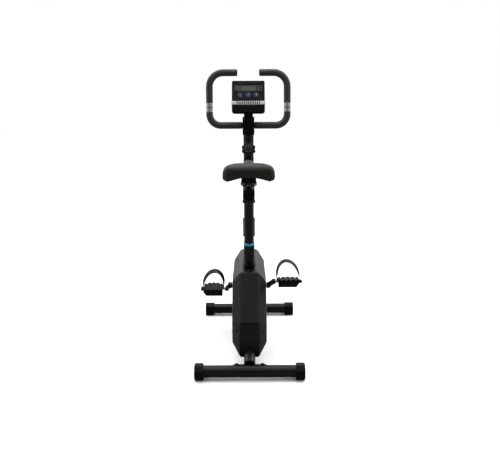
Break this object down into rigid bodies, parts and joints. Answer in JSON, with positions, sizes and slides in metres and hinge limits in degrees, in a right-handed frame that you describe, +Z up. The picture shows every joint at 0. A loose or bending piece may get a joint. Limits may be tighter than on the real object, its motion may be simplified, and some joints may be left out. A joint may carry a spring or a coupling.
{
  "type": "exercise bike",
  "caption": "Upright magnetic exercise bike: tube frame on two foot bars, enclosed flywheel drive, padded saddle, loop handlebar and console.",
  "frame": {"origin": "on the floor, midway between the outer faces of the two foot bars, below the crank axle", "axes": "+X to the rider's right, +Y the way the rider faces, +Z up"},
  "size_m": [0.468, 0.828, 1.2635],
  "materials": {
    "frame_paint": "satin black powder coat, slightly rough",
    "black_plastic": "moulded black nylon, fine grain",
    "slide_paint": "satin black powder coat",
    "wheel_rubber": "hard dark grey rubber",
    "plated_steel": "zinc plated",
    "dark_screw": "blackened",
    "shroud_plastic": "moulded dark grey plastic, satin grain",
    "blue_plastic": "cyan blue moulded plastic, glossy",
    "saddle_vinyl": "black grained vinyl over foam",
    "clamp_steel": "black zinc, worn at the edges",
    "cable_jacket": "black cable jacket",
    "bar_paint": "satin black powder coat",
    "grip_foam": "closed cell foam, fine open skin",
    "sensor_steel": "brushed contact plates",
    "console_plastic": "moulded black plastic, fine grain",
    "console_window": "dark tinted window",
    "display": "grey green liquid crystal",
    "silver_trim": "satin silver, ribbed",
    "button_plastic": "dark navy button with a pale ring",
    "board": "green laminate",
    "belt_rubber": "ribbed belt",
    "flywheel_iron": "turned rim, painted web",
    "bracket_steel": "pressed zinc plated steel",
    "strap_rubber": "moulded strap, semi gloss"
  },
  "bodies": {
    "frame": {"main_frame": "frame_paint", "rear_foot_tube": "frame_paint", "front_foot_tube": "frame_paint", "foot_bolts": "plated_steel", "front_caps": "black_plastic", "wheel_axles": "plated_steel", "shroud_left": "shroud_plastic", "shroud_right": "shroud_plastic", "shroud_screws": "dark_screw", "seat_tube_collar": "black_plastic", "seat_bushing": "blue_plastic", "mast": "frame_paint", "mast_cover": "shroud_plastic", "mast_bolts": "plated_steel", "knob_housing": "black_plastic", "tension_cable": "cable_jacket", "clamp_cap": "black_plastic", "console_bracket": "frame_paint", "console_back": "console_plastic", "console_front": "console_plastic", "console_lens": "console_window", "lcd_panel": "display", "console_trim": "silver_trim", "circuit_board": "board", "axle_bearings": "plated_steel", "drive_belt": "belt_rubber"},
    "crank": {"crank_axle": "plated_steel", "crank_left": "frame_paint", "crank_right": "frame_paint", "drive_pulley": "black_plastic", "pedal_spindles": "plated_steel"},
    "flywheel": {"flywheel": "flywheel_iron"},
    "magnet": {"magnet_bracket": "bracket_steel"},
    "tension_dial": {"tension_knob": "black_plastic"},
    "left_pedal": {"pedal_left": "black_plastic", "strap_left": "strap_rubber"},
    "right_pedal": {"pedal_right": "black_plastic", "strap_right": "strap_rubber"},
    "post": {"seat_post": "frame_paint"},
    "pin": {"seat_lock_knob": "black_plastic"},
    "slide": {"seat_slide": "slide_paint", "slide_end_cap": "black_plastic", "saddle_clamp": "clamp_steel", "saddle_clamp_bolt": "plated_steel"},
    "slide_dial": {"slide_lock_knob": "black_plastic"},
    "saddle": {"saddle_pad": "saddle_vinyl", "saddle_pan": "black_plastic", "saddle_rails": "plated_steel", "clamp_cheeks": "clamp_steel"},
    "handlebar": {"handlebar_tube": "bar_paint", "grips": "grip_foam", "bar_end_plugs": "black_plastic", "pulse_sensors": "sensor_steel"},
    "key_left": {"button_left": "button_plastic"},
    "key_middle": {"button_middle": "button_plastic"},
    "key_right": {"button_right": "button_plastic"},
    "roller_left": {"wheel_left": "wheel_rubber"},
    "roller_right": {"wheel_right": "wheel_rubber"},
    "foot_left": {"leveller_left": "black_plastic"},
    "foot_right": {"leveller_right": "black_plastic"}
  },
  "joints": [
    {"name": "crank_spin", "type": "hinge", "parent": "frame", "child": "crank", "pos_m": [0, 0, 0.2856], "axis": [1, 0, 0], "continuous": true},
    {"name": "flywheel_spin", "type": "hinge", "parent": "frame", "child": "flywheel", "pos_m": [0, 0.18, 0.224], "axis": [1, 0, 0], "continuous": true},
    {"name": "magnet_swing", "type": "hinge", "parent": "frame", "child": "magnet", "pos_m": [0, 0.1, 0.336], "axis": [1, 0, 0], "range_deg": [-1, 4]},
    {"name": "tension_turn", "type": "hinge", "parent": "frame", "child": "tension_dial", "pos_m": [0, 0.158, 0.897], "axis": [0, -0.9272, 0.3746], "range_deg": [-60, 240]},
    {"name": "left_pedal_spin", "type": "hinge", "parent": "crank", "child": "left_pedal", "pos_m": [-0.174, 0.11914, 0.22877], "axis": [1, 0, 0], "continuous": true},
    {"name": "right_pedal_spin", "type": "hinge", "parent": "crank", "child": "right_pedal", "pos_m": [0.174, -0.11914, 0.34243], "axis": [1, 0, 0], "continuous": true},
    {"name": "seat_height", "type": "slide", "parent": "frame", "child": "post", "axis": [0, -0.1994, 0.9799], "range_m": [-0.06, 0.1]},
    {"name": "pin_pull", "type": "slide", "parent": "frame", "child": "pin", "axis": [0, 0.9799, 0.1994], "range_m": [0, 0.012], "stiffness_N_per_m": 800},
    {"name": "seat_fore_aft", "type": "slide", "parent": "post", "child": "slide", "axis": [0, 1, 0], "range_m": [-0.035, 0.02]},
    {"name": "slide_knob_turn", "type": "hinge", "parent": "slide", "child": "slide_dial", "pos_m": [0, -0.257, 0.74], "axis": [0, 0, 1], "range_deg": [0, 350]},
    {"name": "saddle_tilt", "type": "hinge", "parent": "slide", "child": "saddle", "pos_m": [0, -0.222, 0.8], "axis": [1, 0, 0], "range_deg": [-10, 10]},
    {"name": "handlebar_tilt", "type": "hinge", "parent": "frame", "child": "handlebar", "pos_m": [0, 0.2, 1.0065], "axis": [1, 0, 0], "range_deg": [-20, 30]},
    {"name": "left_key_press", "type": "slide", "parent": "frame", "child": "key_left", "axis": [0, 0.891, -0.454], "range_m": [0, 0.0012], "stiffness_N_per_m": 1500},
    {"name": "middle_key_press", "type": "slide", "parent": "frame", "child": "key_middle", "axis": [0, 0.891, -0.454], "range_m": [0, 0.0012], "stiffness_N_per_m": 1500},
    {"name": "right_key_press", "type": "slide", "parent": "frame", "child": "key_right", "axis": [0, 0.891, -0.454], "range_m": [0, 0.0012], "stiffness_N_per_m": 1500},
    {"name": "left_roller_spin", "type": "hinge", "parent": "frame", "child": "roller_left", "pos_m": [-0.214, 0.393, 0.027], "axis": [1, 0, 0], "continuous": true},
    {"name": "right_roller_spin", "type": "hinge", "parent": "frame", "child": "roller_right", "pos_m": [0.214, 0.393, 0.027], "axis": [1, 0, 0], "continuous": true},
    {"name": "left_foot_level", "type": "hinge", "parent": "frame", "child": "foot_left", "pos_m": [-0.21, -0.38, 0.0355], "axis": [1, 0, 0], "range_deg": [0, 180]},
    {"name": "right_foot_level", "type": "hinge", "parent": "frame", "child": "foot_right", "pos_m": [0.21, -0.38, 0.0355], "axis": [1, 0, 0], "range_deg": [0, 180]}
  ],
  "couplings": [
    {"joint": "flywheel_spin", "follows": "crank_spin", "ratio": 6},
    {"joint": "magnet_swing", "follows": "tension_turn", "ratio": 0.016667}
  ]
}
